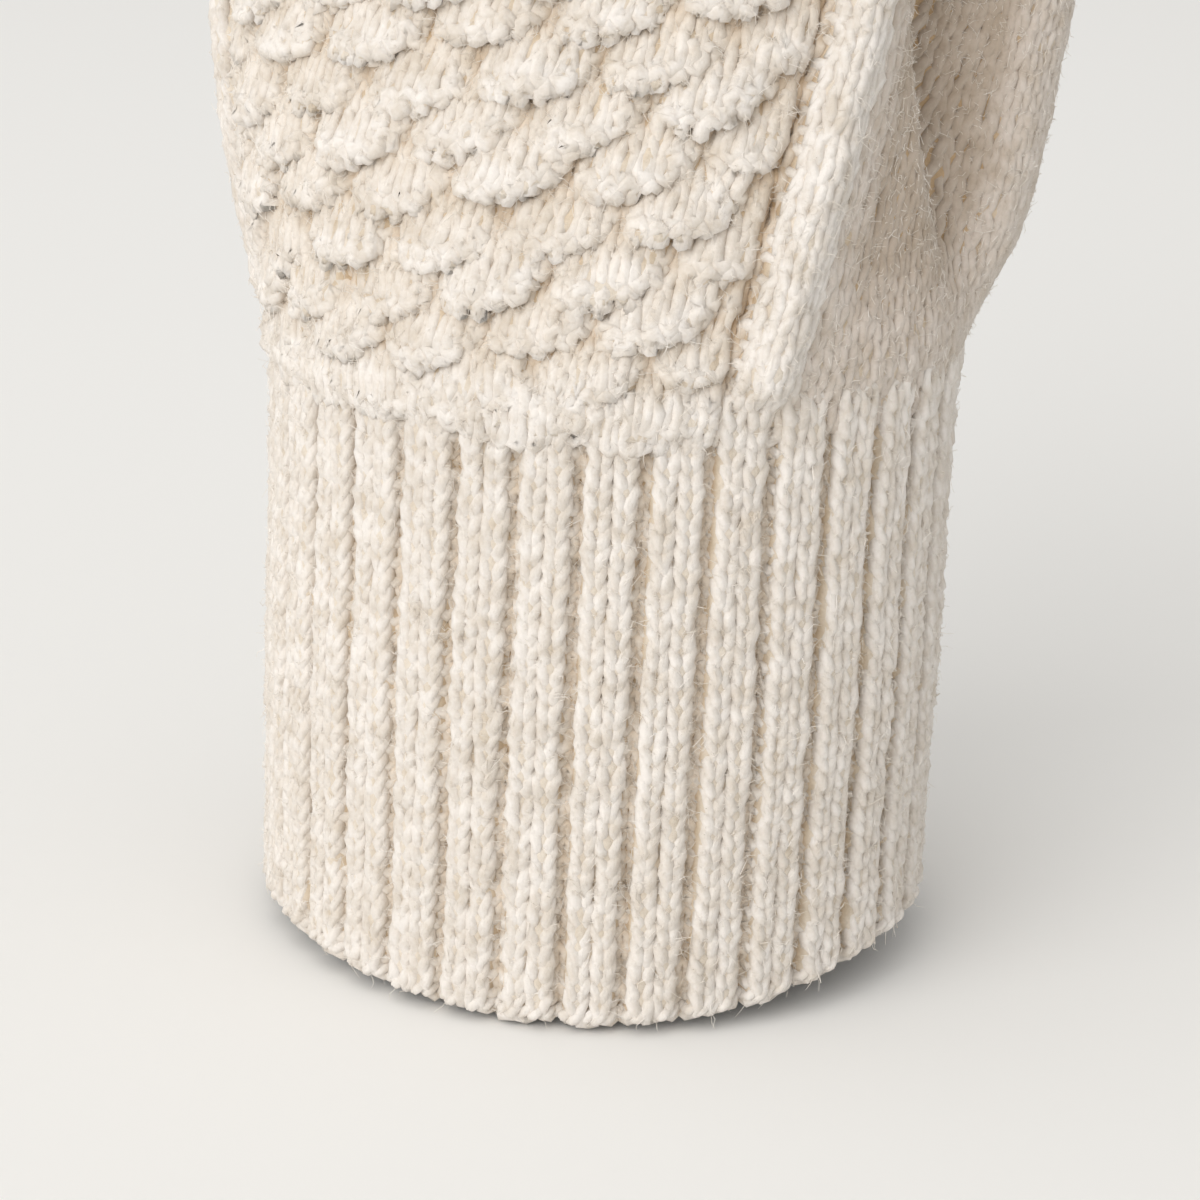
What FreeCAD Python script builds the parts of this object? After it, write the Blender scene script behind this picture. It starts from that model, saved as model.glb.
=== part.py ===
import FreeCAD, Part
import math
import os

# A left-hand knitted glove with open finger ends, standing on the hem of its ribbed cuff.
# +Z runs from the hem to the fingers, -Y is the back of the hand, +Y the palm, and +X the
# thumb side. The origin is the middle of the wrist opening, in the plane of the hem.
# All sizes are millimetres.

# Knitted wall
WALL = 2.4
WELT_RISE = 1.3

# Heights along the cuff and the hand
EDGE_TOP = 4.0
CUFF_TOP = 44.0
FLEX_TOP = 61.0
SETUP_TOP = 64.5
YOKE_BASE = 136.0
HAND_TOP = 151.0

# Hand tube: height, middle (X), outer half width (X) and half depth (Y)
HAND_SECTIONS = [
    (0.0, 0.0, 34.2, 32.6),
    (15.0, 0.0, 34.1, 32.4),
    (30.0, 0.0, 34.3, 32.4),
    (44.0, 0.0, 34.6, 32.3),
    (58.0, 0.0, 34.8, 32.0),
    (66.0, -0.3, 35.9, 32.2),
    (74.0, -1.4, 37.2, 31.0),
    (85.0, -3.0, 37.9, 28.2),
    (98.0, -4.4, 37.4, 25.0),
    (112.0, -5.0, 38.0, 22.4),
    (126.0, -5.0, 39.6, 19.8),
    (138.0, -5.0, 40.6, 17.4),
    (146.0, -5.0, 40.2, 15.2),
    (HAND_TOP, -5.0, 38.8, 13.2),
]

# Raised welts beside the back panel
WELT_HALF_WIDTH = 3.4
RADIAL_WELT_X = 21.8
RADIAL_WELT_LEAN = 0.155
RADIAL_WELT_END_Y = -3.0
ULNAR_WELT_Y = -6.0

# The knuckle line steps and slopes down under the little finger
LITTLE_STEP_X = -26.4
LITTLE_STEP_TOP = 149.0
LITTLE_LEAN = -7.0

# Fingers: name, base X, base Z, outward lean in degrees, half width, half depth, tube length
FINGERS = [
    ("index", 24.5, HAND_TOP, 5.0, 10.0, 10.7, 24.0),
    ("middle", 3.9, HAND_TOP, 1.5, 10.0, 10.9, 27.0),
    ("ring", -16.4, HAND_TOP, -2.5, 9.7, 10.6, 25.0),
    ("little", -35.6, 147.87, LITTLE_LEAN, 8.9, 9.6, 21.0),
]
FINGER_TAPER = 0.4
FINGER_ROOT = 14.0
FINGER_FLEX = 8.0
FINGER_EDGE = 3.5

# Thumb: the gusset swells out of the hand along these points, each with its outer radius,
# and then the tube runs straight from the bend
GUSSET_PATH = [
    (24.0, 5.0, 62.0, 8.0),
    (28.0, 8.5, 70.0, 10.6),
    (30.2, 12.0, 80.0, 11.8),
    (30.8, 16.8, 95.0, 12.3),
]
THUMB_BEND = FreeCAD.Vector(33.0, 22.3, 110.0)
THUMB_AIM = FreeCAD.Vector(45.5, 36.0, 147.0)
THUMB_RADIUS = 12.3
THUMB_TAPER = 0.8
THUMB_FLEX_START = 3.5
THUMB_FLEX_END = 12.5
THUMB_EDGE_START = 32.5
THUMB_END = 36.0

# Crotch gussets: the knitted bridges between neighbouring fingers
CROTCH_HALF_WIDTH = 2.2
CROTCH_BASE = 144.0

SECTION_POINTS = 20
SEAM_TURN = 2.2
REACH = 200.0
UP = FreeCAD.Vector(0, 0, 1)
ACROSS = FreeCAD.Vector(1, 0, 0)


def ring(centre, along, across, half_width, half_depth):
    """A closed oval wire about centre, in the plane that along is normal to."""
    side = across - along * across.dot(along)
    side.normalize()
    depth = along.cross(side)
    points = []
    for i in range(SECTION_POINTS):
        turn = SEAM_TURN + 2 * math.pi * i / SECTION_POINTS
        points.append(centre + side * (half_width * math.cos(turn)) + depth * (half_depth * math.sin(turn)))
    curve = Part.BSplineCurve()
    curve.interpolate(Points=points, PeriodicFlag=True)
    return Part.Wire(curve.toShape())


def hand_tube(offset):
    """The cuff and hand as one solid, its sections grown by offset."""
    wires = []
    for height, middle, half_width, half_depth in HAND_SECTIONS:
        z = height
        if offset < 0 and height == HAND_TOP:
            z = HAND_TOP - WALL
        centre = FreeCAD.Vector(middle, 0, z)
        wires.append(ring(centre, UP, ACROSS, half_width + offset, half_depth + offset))
    return Part.makeLoft(wires, True, True, False, 5)


def above_little(drop):
    """The space over the little finger's part of the knuckle line, lowered by drop."""
    fall = REACH * math.tan(math.radians(-LITTLE_LEAN))
    step = LITTLE_STEP_TOP - drop
    corners = [
        FreeCAD.Vector(LITTLE_STEP_X, -REACH / 2, step),
        FreeCAD.Vector(LITTLE_STEP_X, -REACH / 2, step + REACH),
        FreeCAD.Vector(LITTLE_STEP_X - REACH, -REACH / 2, step + REACH),
        FreeCAD.Vector(LITTLE_STEP_X - REACH, -REACH / 2, step - fall),
    ]
    face = Part.Face(Part.makePolygon(corners + corners[:1]))
    return face.extrude(FreeCAD.Vector(0, REACH, 0))


def finger_direction(lean):
    return FreeCAD.Vector(math.sin(math.radians(lean)), 0, math.cos(math.radians(lean)))


def finger_solid(finger, offset, start, end):
    """A finger's tapering tube between two distances along its axis."""
    name, x, z, lean, half_width, half_depth, length = finger
    along = finger_direction(lean)
    wires = []
    for distance in sorted({start, 0.0, end}):
        narrowing = FINGER_TAPER * max(distance, 0.0) / length
        centre = FreeCAD.Vector(x, 0, z) + along * distance
        wires.append(
            ring(
                centre,
                along,
                ACROSS,
                half_width + offset - narrowing,
                half_depth + offset - narrowing,
            )
        )
    return Part.makeLoft(wires, True, True, False, 5)


def thumb_direction():
    along = THUMB_AIM - THUMB_BEND
    along.normalize()
    return along


def thumb_solid(offset, end=THUMB_END):
    """The gusset and thumb from inside the hand to the open end, radii grown by offset."""
    along = thumb_direction()
    path = [(FreeCAD.Vector(x, y, z), radius) for x, y, z, radius in GUSSET_PATH]
    for distance in (0.0, THUMB_FLEX_END, end):
        narrowing = THUMB_TAPER * distance / THUMB_END
        path.append((THUMB_BEND + along * distance, THUMB_RADIUS - narrowing))
    wires = []
    for i, (centre, radius) in enumerate(path):
        if i >= len(GUSSET_PATH):
            tangent = along
        else:
            tangent = path[i + 1][0] - path[max(i - 1, 0)][0]
            tangent.normalize()
        wires.append(ring(centre, tangent, ACROSS, radius + offset, radius + offset))
    return Part.makeLoft(wires, True, True, False, 5)


def slab(base, along, start, end):
    """Everything between two planes that are normal to along."""
    box = Part.makeBox(REACH, REACH, end - start, FreeCAD.Vector(-REACH / 2, -REACH / 2, start))
    turn = FreeCAD.Rotation(UP, along)
    box.Placement = FreeCAD.Placement(base, turn)
    return box


def level(bottom, top):
    return slab(FreeCAD.Vector(0, 0, 0), UP, bottom, top)


def radial_welt_strip(half_width):
    """The leaning strip of space that the thumb-side welt takes, on the back of the hand."""
    bottom = SETUP_TOP - 5
    rise = YOKE_BASE + 5 - bottom
    low = RADIAL_WELT_X + RADIAL_WELT_LEAN * (bottom - SETUP_TOP)
    high = low + RADIAL_WELT_LEAN * rise
    corners = [
        FreeCAD.Vector(low - half_width, RADIAL_WELT_END_Y, bottom),
        FreeCAD.Vector(low + half_width, RADIAL_WELT_END_Y, bottom),
        FreeCAD.Vector(high + half_width, RADIAL_WELT_END_Y, bottom + rise),
        FreeCAD.Vector(high - half_width, RADIAL_WELT_END_Y, bottom + rise),
    ]
    face = Part.Face(Part.makePolygon(corners + corners[:1]))
    return face.extrude(FreeCAD.Vector(0, -REACH, 0))


def back_of_hand():
    """The space over the back of the hand, between the two welts' middle lines."""
    bottom = SETUP_TOP - 5
    rise = YOKE_BASE + 5 - bottom
    low = RADIAL_WELT_X + RADIAL_WELT_LEAN * (bottom - SETUP_TOP)
    high = low + RADIAL_WELT_LEAN * rise
    corners = [
        FreeCAD.Vector(-REACH, ULNAR_WELT_Y, bottom),
        FreeCAD.Vector(low, ULNAR_WELT_Y, bottom),
        FreeCAD.Vector(high, ULNAR_WELT_Y, bottom + rise),
        FreeCAD.Vector(-REACH, ULNAR_WELT_Y, bottom + rise),
    ]
    face = Part.Face(Part.makePolygon(corners + corners[:1]))
    return face.extrude(FreeCAD.Vector(0, -REACH, 0))


def keep_solids(shape, smallest=1.0):
    """The shape's solids, without slivers."""
    solids = [solid for solid in shape.Solids if solid.Volume > smallest]
    return solids[0] if len(solids) == 1 else Part.makeCompound(solids)


def write(name, shape):
    shape = keep_solids(shape)
    if not shape.isValid():
        print("not valid:", name)
    print(f"{name:26s} solids {len(shape.Solids)}  volume {shape.Volume:8.0f}")
    shape.exportStep(os.path.join("parts", name + ".step"))
    return shape


def build():
    os.makedirs("parts", exist_ok=True)

    hand_outer = hand_tube(0.0).cut(above_little(0.0))
    hand_inner = hand_tube(-WALL).cut(above_little(WALL))
    thumb_outer = thumb_solid(0.0)
    thumb_inner = thumb_solid(-WALL, THUMB_END + 1)
    along = thumb_direction()

    # The hand and the thumb as one knitted wall, still closed over the fingers
    hollow = hand_inner.fuse(thumb_inner)
    for finger in FINGERS:
        hollow = hollow.fuse(finger_solid(finger, -WALL, -FINGER_ROOT, finger[6] + 5))
    hand_wall = hand_outer.fuse(thumb_outer).cut(hollow)

    # Cuff
    write("cast_on_edge", hand_wall.common(level(0, EDGE_TOP)))
    write("rib_cuff", hand_wall.common(level(EDGE_TOP, CUFF_TOP)))
    write("wrist_ribbing", hand_wall.common(level(CUFF_TOP, FLEX_TOP)))
    write("setup_round", hand_wall.common(level(FLEX_TOP, SETUP_TOP)))

    # Thumb, from the gusset to the open end
    thumb_room = thumb_solid(0.6)
    beyond_flex = slab(THUMB_BEND, along, THUMB_FLEX_START, REACH)
    thumb_zone = thumb_room.common(level(SETUP_TOP, REACH)).cut(beyond_flex)
    write("thumb_gusset", hand_wall.common(thumb_zone))
    thumb_wall = thumb_outer.cut(thumb_inner)
    write("thumb_base", thumb_wall.common(slab(THUMB_BEND, along, THUMB_FLEX_START, THUMB_FLEX_END)))
    write("thumb_tube", thumb_wall.common(slab(THUMB_BEND, along, THUMB_FLEX_END, THUMB_EDGE_START)))
    write("thumb_edge", thumb_wall.common(slab(THUMB_BEND, along, THUMB_EDGE_START, THUMB_END)))

    # Back, palm and welts
    middle = hand_outer.cut(hollow).cut(thumb_zone).common(level(SETUP_TOP, YOKE_BASE))
    raised = hand_tube(WELT_RISE).cut(hollow).cut(thumb_zone).common(level(SETUP_TOP, YOKE_BASE))
    radial_strip = radial_welt_strip(WELT_HALF_WIDTH)
    ulnar_strip = Part.makeBox(
        REACH, 2 * WELT_HALF_WIDTH, REACH, FreeCAD.Vector(-REACH, ULNAR_WELT_Y - WELT_HALF_WIDTH, 0)
    )
    plain = middle.cut(radial_strip).cut(ulnar_strip)
    back = plain.common(back_of_hand())
    write("back_panel", back)
    write("palm_panel", plain.cut(back_of_hand()))
    write("radial_welt", raised.common(radial_strip))
    write("ulnar_welt", raised.common(ulnar_strip))

    # Knuckle yoke and the crotches between the fingers
    yoke = hand_outer
    for finger in FINGERS:
        yoke = yoke.fuse(finger_solid(finger, 0.0, -FINGER_ROOT, 0.0))
    yoke = yoke.cut(hollow).cut(thumb_zone).common(level(YOKE_BASE, REACH))
    for finger in FINGERS:
        yoke = yoke.cut(finger_solid(finger, 0.0, 0.0, finger[6]))
    for first, second in zip(FINGERS, FINGERS[1:]):
        middle_x = (first[1] + second[1]) / 2
        bridge = Part.makeBox(
            2 * CROTCH_HALF_WIDTH,
            REACH,
            REACH,
            FreeCAD.Vector(middle_x - CROTCH_HALF_WIDTH, -REACH / 2, CROTCH_BASE),
        )
        write(f"crotch_{first[0]}_{second[0]}", yoke.common(bridge))
        yoke = yoke.cut(bridge)
    write("knuckle_yoke", yoke)

    # Fingers
    for finger in FINGERS:
        name, x, z, lean, half_width, half_depth, length = finger
        base = FreeCAD.Vector(x, 0, z)
        direction = finger_direction(lean)
        inside = finger_solid(finger, -WALL, -FINGER_ROOT, length + 1)
        wall = finger_solid(finger, 0.0, 0.0, length).cut(inside)
        write(f"{name}_base", wall.common(slab(base, direction, 0.0, FINGER_FLEX)))
        write(f"{name}_tube", wall.common(slab(base, direction, FINGER_FLEX, length - FINGER_EDGE)))
        write(f"{name}_edge", wall.common(slab(base, direction, length - FINGER_EDGE, length)))


build()
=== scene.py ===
import bpy
import math
import numpy as np
from mathutils import Matrix, Vector


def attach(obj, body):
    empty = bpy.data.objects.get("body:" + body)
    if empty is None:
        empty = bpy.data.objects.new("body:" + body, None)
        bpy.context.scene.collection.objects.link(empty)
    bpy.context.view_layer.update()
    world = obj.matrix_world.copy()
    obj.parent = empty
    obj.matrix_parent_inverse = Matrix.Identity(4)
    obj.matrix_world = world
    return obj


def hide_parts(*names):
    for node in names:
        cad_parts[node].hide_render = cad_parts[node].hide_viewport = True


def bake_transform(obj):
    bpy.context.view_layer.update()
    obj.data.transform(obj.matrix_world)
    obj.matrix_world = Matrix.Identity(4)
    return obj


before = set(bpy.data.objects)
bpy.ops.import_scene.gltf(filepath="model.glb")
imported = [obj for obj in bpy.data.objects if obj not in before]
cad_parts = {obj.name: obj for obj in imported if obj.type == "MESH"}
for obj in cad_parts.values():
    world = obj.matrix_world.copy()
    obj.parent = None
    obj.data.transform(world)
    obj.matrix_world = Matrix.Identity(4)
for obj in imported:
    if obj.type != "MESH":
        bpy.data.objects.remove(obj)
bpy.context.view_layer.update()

# The glove stands on its hem. +Z runs to the fingers, -Y is the back of the hand, +X the thumb.
# Lengths below are millimetres unless a name says otherwise, and turn to metres in the meshes.
MM = 0.001

# Stitch gauge: row height, path points per stitch, sides and radius of the yarn
ROW = 1.88
STEP_COUNT = 10
YARN_SIDES = 6
HAND_YARN = 0.62
RIB_YARN = 0.66
# How far up the yarn the felted layer reaches, as a share of the yarn's radius
FELT_FILL = 0.64
FELT_THICK = 0.3

# Loose knitting strays out of the wall, along its course and up, and varies in thickness
STRAY_OUT = 0.08
STRAY_ALONG = 0.10
STRAY_UP = 0.13
THICK_LONG = 0.10
THICK_SHORT = 0.06
# Noise read this far away is independent of the noise here
ELSEWHERE = 50

# Painted shade: the wool is coloured darker where the relief sinks in and lighter where it stands
# out: shade level at no relief, and per millimetre of relief
YARN_PAINTED_SHADE = (0.55, 0.30)
FELT_PAINTED_SHADE = (0.50, 0.36)

# Heights: the wrist's flexing ribs lie between CUFF_TOP and FLEX_TOP. They start below the
# frame's wrist_ribbing, so that a bent wrist squeezes soft rows only.
CUFF_TOP = 40.5
FLEX_TOP = 61.0
HAND_LOW = 59.6
HAND_TOP = 151.0
GUSSET_TOP = 113.0

# Columns round the cuff, and the column where each part of the hand ends, from the panel's left
REPEATS = 34
CUFF_COLUMNS = 3 * REPEATS
BACK_COLUMNS = 36
WELT_END = 40
VALLEY_ONE = 54
VALLEY_TWO = 69
PALM_END = 102
HAND_COLUMNS = 105

# Hand tube: height, middle (X), half width (X), half depth (Y)
HAND_SECTIONS = np.array([
    (-4.0, 0.0, 34.2, 32.6),
    (15.0, 0.0, 34.1, 32.4),
    (30.0, 0.0, 34.3, 32.4),
    (44.0, 0.0, 34.1, 32.0),
    (58.0, 0.0, 34.2, 31.8),
    (66.0, -0.2, 35.3, 32.0),
    (74.0, -1.2, 36.6, 31.0),
    (85.0, -2.5, 37.2, 28.2),
    (98.0, -3.8, 36.7, 25.0),
    (112.0, -5.0, 38.0, 22.4),
    (126.0, -5.0, 39.6, 19.8),
    (138.0, -5.0, 40.6, 17.4),
    (146.0, -5.0, 40.2, 15.2),
    (151.0, -5.0, 38.8, 13.2),
    (156.0, -5.0, 38.0, 12.2),
])

# Thumb gusset: height, centre (X, Y) and radius of its two lobes, towards the back and the palm
GUSSET_BACK = np.array([
    (56.0, 20.0, 1.0, 6.0),
    (62.0, 23.0, 3.0, 9.0),
    (70.0, 25.6, 5.5, 12.0),
    (80.0, 27.0, 7.0, 13.0),
    (95.0, 27.6, 9.4, 13.9),
    (103.0, 29.6, 14.8, 13.0),
    (110.0, 32.6, 21.0, 12.5),
    (130.0, 39.8, 29.7, 12.3),
])
GUSSET_PALM = np.array([
    (56.0, 19.0, 4.0, 6.0),
    (62.0, 22.0, 6.0, 8.0),
    (70.0, 25.0, 10.0, 10.4),
    (80.0, 26.6, 14.0, 11.2),
    (95.0, 28.2, 17.0, 11.6),
    (110.0, 33.0, 22.3, 12.3),
    (130.0, 39.8, 29.7, 12.3),
])
THUMB_BEND = np.array([33.0, 22.3, 110.0])
THUMB_AIM = np.array([45.5, 36.0, 147.0])
THUMB_RADIUS = 12.3
THUMB_TAPER = 0.8
THUMB_END = 36.0

# Fingers: name, base X, base Z, outward lean in degrees, half width, half depth, length
FINGERS = [
    ("index", 24.5, 151.0, 5.0, 10.0, 10.7, 24.0),
    ("middle", 3.9, 151.0, 1.5, 10.0, 10.9, 27.0),
    ("ring", -16.4, 151.0, -2.5, 9.7, 10.6, 25.0),
    ("little", -35.6, 147.87, -7.0, 8.9, 9.6, 21.0),
]
FINGER_TAPER = 0.4
EDGE_BAND = 3.5


def smooth_curve(xs, ys, x):
    """Monotone cubic through the points, read at x."""
    xs = np.asarray(xs, float)
    ys = np.asarray(ys, float)
    gap = np.diff(xs)
    slope = np.diff(ys) / gap
    tangent = np.zeros(len(xs))
    tangent[0], tangent[-1] = slope[0], slope[-1]
    same = slope[:-1] * slope[1:] > 0
    mean = 2 * slope[:-1] * slope[1:] / np.where(same, slope[:-1] + slope[1:], 1)
    tangent[1:-1] = np.where(same, mean, 0)
    x = np.clip(x, xs[0], xs[-1])
    k = np.clip(np.searchsorted(xs, x, side="right") - 1, 0, len(xs) - 2)
    t = (x - xs[k]) / gap[k]
    return (ys[k] * (2 * t**3 - 3 * t**2 + 1) + ys[k + 1] * (3 * t**2 - 2 * t**3)
            + gap[k] * (tangent[k] * (t**3 - 2 * t**2 + t) + tangent[k + 1] * (t**3 - t**2)))


def smoothstep(x, low, high):
    t = np.clip((x - low) / (high - low), 0, 1)
    return t * t * (3 - 2 * t)


def unit(vectors):
    return vectors / np.maximum(np.linalg.norm(vectors, axis=-1, keepdims=True), 1e-9)


class Wobble:
    """Smooth seeded noise in space: a sum of waves about one length."""

    def __init__(self, length, seed, waves=14):
        source = np.random.default_rng(seed)
        self.ways = unit(source.normal(size=(waves, 3))) * source.uniform(0.6, 1.6, (waves, 1))
        self.ways = self.ways * 2 * math.pi / length
        self.starts = source.uniform(0, 2 * math.pi, waves)
        self.scale = math.sqrt(2.0 / waves)

    def __call__(self, points):
        total = np.zeros(points.shape[:-1])
        for way, start in zip(self.ways, self.starts):
            total += np.sin(points @ way + start)
        return total * self.scale


# Uneven tension along a digit, along a few stitches and along one stitch
DRAPE = Wobble(34.0, 3)
LOOSE = Wobble(4.2, 5)
FINE = Wobble(1.7, 6)


class Skin:
    """A grid of points and normals over a knitted wall, read at (column, row height)."""

    def __init__(self, points, first_column, column_step, first_height, height_step, closed):
        self.points = points
        self.first_column = first_column
        self.column_step = column_step
        self.first_height = first_height
        self.height_step = height_step
        self.closed = closed
        if closed:
            across = np.roll(points, -1, 1) - np.roll(points, 1, 1)
        else:
            across = np.gradient(points, axis=1)
        along = np.gradient(points, axis=0)
        normals = unit(np.cross(across, along))
        for _ in range(2):
            side = np.roll(normals, -1, 1) + np.roll(normals, 1, 1)
            normals = unit(normals + 0.5 * side)
        self.normals = normals

    def read(self, column, height):
        levels, count = self.points.shape[:2]
        across = (column - self.first_column) / self.column_step
        along = np.clip((height - self.first_height) / self.height_step, 0, levels - 1.001)
        if self.closed:
            across = np.mod(across, count)
            low = np.minimum(np.floor(across).astype(int), count - 1)
            high = (low + 1) % count
        else:
            across = np.clip(across, 0, count - 1.001)
            low = np.floor(across).astype(int)
            high = low + 1
        base = np.floor(along).astype(int)
        p = (across - low)[..., None]
        q = (along - base)[..., None]
        found = []
        for grid in (self.points, self.normals):
            lower = grid[base, low] * (1 - p) + grid[base, high] * p
            upper = grid[base + 1, low] * (1 - p) + grid[base + 1, high] * p
            found.append(lower * (1 - q) + upper * q)
        return found[0], unit(found[1])


def make_mesh(name, vertices, polygons, material, tint=None, strand=None):
    """One object from millimetre vertices and lists of polygon arrays."""
    mesh = bpy.data.meshes.new(name)
    mesh.vertices.add(len(vertices))
    mesh.vertices.foreach_set("co", (np.asarray(vertices) * MM).ravel())
    corners = np.concatenate([p.ravel() for p in polygons]).astype(np.int32)
    totals = np.concatenate([np.full(len(p), p.shape[1], np.int32) for p in polygons])
    starts = np.concatenate([[0], np.cumsum(totals)[:-1]]).astype(np.int32)
    mesh.loops.add(len(corners))
    mesh.loops.foreach_set("vertex_index", corners)
    mesh.polygons.add(len(totals))
    mesh.polygons.foreach_set("loop_start", starts)
    mesh.polygons.foreach_set("loop_total", totals)
    mesh.polygons.foreach_set("use_smooth", np.ones(len(totals), bool))
    mesh.update()
    # The painted-shade level of each point, which the wool's colour ramp reads
    if tint is not None:
        layer = mesh.attributes.new("tint", "FLOAT", "POINT")
        layer.data.foreach_set("value", np.asarray(tint, np.float32))
    if strand is not None:
        layer = mesh.uv_layers.new(name="strand")
        layer.data.foreach_set("uv", np.asarray(strand, np.float32).ravel())
    mesh.materials.append(material)
    made = bpy.data.objects.new(name, mesh)
    bpy.context.scene.collection.objects.link(made)
    return made


def strand_tubes(paths, outward, radius, tint, closed, sides=YARN_SIDES):
    """Round yarn about each path. paths and outward are (n, m, 3), radius and painted-shade level
    (n, m).
    """
    count, length = paths.shape[:2]
    if closed:
        forward = np.roll(paths, -1, 1) - np.roll(paths, 1, 1)
    else:
        forward = np.gradient(paths, axis=1)
    forward = unit(forward)
    across = unit(np.cross(forward, outward))
    up = np.cross(across, forward)
    turn = 2 * math.pi * np.arange(sides) / sides
    around = (np.cos(turn)[None, None, :, None] * up[:, :, None, :]
              + np.sin(turn)[None, None, :, None] * across[:, :, None, :])
    vertices = paths[:, :, None, :] + radius[:, :, None, None] * around
    spans = length if closed else length - 1
    here = np.arange(spans)
    after = (here + 1) % length
    k = np.arange(sides)
    k_next = (k + 1) % sides
    quad = np.stack([
        here[:, None] * sides + k[None, :],
        here[:, None] * sides + k_next[None, :],
        after[:, None] * sides + k_next[None, :],
        after[:, None] * sides + k[None, :],
    ], -1).reshape(-1, 4)
    offsets = np.arange(count) * length * sides
    quads = (offsets[:, None, None] + quad[None]).reshape(-1, 4)
    polygons = [quads]
    run = np.concatenate([np.zeros((count, 1)),
                          np.cumsum(np.linalg.norm(np.diff(paths, axis=1), axis=2), 1)], 1)
    run_after = np.concatenate([run, run[:, -1:] + 1.0], 1)
    strand = np.zeros((count, spans, sides, 4, 2))
    strand[..., 0, 0] = run[:, :spans, None]
    strand[..., 1, 0] = run[:, :spans, None]
    strand[..., 2, 0] = run_after[:, 1:spans + 1, None]
    strand[..., 3, 0] = run_after[:, 1:spans + 1, None]
    strand[..., 0, 1] = k[None, None, :] / sides
    strand[..., 3, 1] = k[None, None, :] / sides
    strand[..., 1, 1] = (k[None, None, :] + 1) / sides
    strand[..., 2, 1] = (k[None, None, :] + 1) / sides
    strand = strand.reshape(-1, 2)
    if not closed:
        first = offsets[:, None] + k[::-1][None, :]
        last = offsets[:, None] + (length - 1) * sides + k[None, :]
        polygons += [first, last]
        strand = np.concatenate([strand, np.zeros((2 * count * sides, 2))])
    tints = np.repeat(tint[:, :, None], sides, 2)
    return vertices.reshape(-1, 3), polygons, tints.ravel(), strand


class Bundle:
    """Collects tubes that become one object."""

    def __init__(self):
        self.vertices, self.polygons, self.tints, self.strands = [], {}, [], {}
        self.size = 0

    def add(self, vertices, polygons, tints, strand):
        start = 0
        for group in polygons:
            sides = group.shape[1]
            corners = group.size
            self.polygons.setdefault(sides, []).append(group + self.size)
            self.strands.setdefault(sides, []).append(strand[start:start + corners])
            start += corners
        self.vertices.append(vertices)
        self.tints.append(tints)
        self.size += len(vertices)

    def build(self, name, material):
        polygons = [np.concatenate(self.polygons[s]) for s in sorted(self.polygons)]
        strand = np.concatenate([np.concatenate(self.strands[s]) for s in sorted(self.strands)])
        return make_mesh(name, np.concatenate(self.vertices), polygons, material,
                         np.concatenate(self.tints), strand)


class Knit:
    """How a wall is knitted: its relief, faces and yarn, each read at (column, height)."""

    def __init__(self, skin, yarn, relief, face, sink, inset=1.0, swell=None,
                 slant=0.25, sway=0.45):
        self.skin = skin
        self.yarn = yarn
        self.relief = relief
        self.face = face
        self.sink = sink
        self.inset = inset
        self.swell = swell
        self.slant = slant
        self.sway = sway

    def courses(self, heights, columns, first, closed, loop=0.95):
        """The yarn of each course: paths, outward directions, radii and painted-shade levels."""
        steps = columns * STEP_COUNT + (0 if closed else 1)
        stitch = first + np.arange(steps)[None, :] / STEP_COUNT
        stitch = np.repeat(stitch, len(heights), 0)
        rows = np.asarray(heights, float)[:, None]
        wave = 2 * math.pi * stitch
        column = stitch + self.slant * np.sin(2 * wave)
        rise = -loop * ROW * np.cos(wave)
        height = rows + rise
        relief = self.relief(column, height)
        face = self.face(column, height)
        sink = self.sink(column, height)
        place, outward = self.skin.read(column, height - sink)
        lift = -self.sway * self.yarn * face * np.cos(2 * wave)
        lift = lift + relief - self.inset + STRAY_OUT * LOOSE(place)
        along = unit(np.gradient(place, axis=1))
        up = np.cross(outward, along)
        paths = place + outward * lift[..., None]
        paths = paths + along * (STRAY_ALONG * LOOSE(place + ELSEWHERE))[..., None]
        paths = paths + up * (STRAY_UP * LOOSE(place - ELSEWHERE))[..., None]
        radius = self.yarn * (1 + THICK_LONG * FINE(place * 0.6) + THICK_SHORT * FINE(place))
        if self.swell is not None:
            radius = radius * self.swell(column, height)
        # Painted shade: yarn sunk into the relief is coloured darker, yarn standing out lighter
        tint = np.clip(YARN_PAINTED_SHADE[0] + YARN_PAINTED_SHADE[1] * relief, -1, 2)
        return paths, outward, radius, tint

    def knit(self, name, material, heights, columns, first, closed=False, extra=()):
        bundle = Bundle()
        paths, outward, radius, tint = self.courses(heights, columns, first, closed)
        bundle.add(*strand_tubes(paths, outward, radius, tint, closed))
        for piece in extra:
            bundle.add(*piece)
        return bundle.build(name, material)

    def backing(self, name, material, low, high, columns, first, closed=False, step=0.47,
                per_column=3):
        """The thin felted layer of crossed-over fibres that fills the gaps between stitches,
        coloured in painted shade.
        """
        heights = np.linspace(low, high, max(int((high - low) / step), 2))
        count = columns * per_column + (0 if closed else 1)
        column = first + np.arange(count)[None, :] / per_column
        column = np.repeat(column, len(heights), 0)
        height = np.repeat(heights[:, None], count, 1)
        place, outward = self.skin.read(column, height - self.sink(column, height))
        relief = self.relief(column, height)
        lift = relief - self.inset + FELT_FILL * self.yarn
        outer = place + outward * (lift + 0.07 * FINE(place))[..., None]
        inner = outer - outward * FELT_THICK
        # Painted shade: the felt is coloured darker where the relief sinks in
        tint = np.clip(FELT_PAINTED_SHADE[0] + FELT_PAINTED_SHADE[1] * relief, 0, 1)
        return shell_mesh(name, material, outer, inner, closed, tint)


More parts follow.
